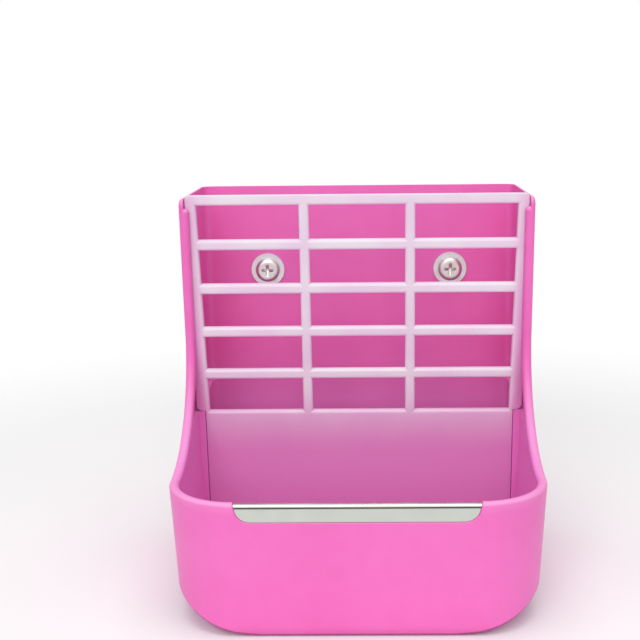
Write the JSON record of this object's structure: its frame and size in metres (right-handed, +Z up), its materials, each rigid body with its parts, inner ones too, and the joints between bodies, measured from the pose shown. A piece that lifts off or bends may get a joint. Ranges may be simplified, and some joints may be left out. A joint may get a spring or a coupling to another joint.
{
  "type": "hay feeder box",
  "caption": "Pink plastic hay rack and feed bowl in one box, with a lift-out white grid, a steel lip guard and two clamps for a cage wall.",
  "frame": {"origin": "on the flat bottom face, under the middle of the housing's width and depth", "axes": "+X to the right seen from the front, +Y from the bowl to the back wall, +Z up"},
  "size_m": [0.18, 0.1647, 0.1972],
  "materials": {
    "pink_plastic": "satin moulded polypropylene",
    "white_plastic": "satin, slightly translucent moulded plastic",
    "guard_steel": "satin stainless sheet",
    "zinc_steel": "bright zinc plated"
  },
  "bodies": {
    "housing": {"feeder_housing": "pink_plastic", "bite_guard": "guard_steel", "left_bolt": "zinc_steel", "left_bolt_washer": "zinc_steel", "right_bolt": "zinc_steel", "right_bolt_washer": "zinc_steel"},
    "grid": {"hay_grid": "white_plastic"},
    "left_clamp": {"left_clamp_plate": "zinc_steel"},
    "left_nut": {"left_wing_nut": "zinc_steel"},
    "right_clamp": {"right_clamp_plate": "zinc_steel"},
    "right_nut": {"right_wing_nut": "zinc_steel"}
  },
  "joints": [
    {"name": "grid_lift_off", "type": "slide", "parent": "housing", "child": "grid", "axis": [0, -0.0946, 0.9955], "range_m": [0, 0.196]},
    {"name": "left_clamp_slide", "type": "slide", "parent": "housing", "child": "left_clamp", "axis": [0, 1, 0], "range_m": [0, 0.0081]},
    {"name": "left_nut_turn", "type": "hinge", "parent": "left_clamp", "child": "left_nut", "pos_m": [-0.05, 0.072, 0.15], "axis": [0, 1, 0], "range_deg": [0, 2880]},
    {"name": "right_clamp_slide", "type": "slide", "parent": "housing", "child": "right_clamp", "axis": [0, 1, 0], "range_m": [0, 0.0081]},
    {"name": "right_nut_turn", "type": "hinge", "parent": "right_clamp", "child": "right_nut", "pos_m": [0.05, 0.072, 0.15], "axis": [0, 1, 0], "range_deg": [0, 2880]}
  ],
  "couplings": [
    {"joint": "left_clamp_slide", "follows": "left_nut_turn", "m_per_rad": 0.00015915},
    {"joint": "right_clamp_slide", "follows": "right_nut_turn", "m_per_rad": 0.00015915}
  ]
}
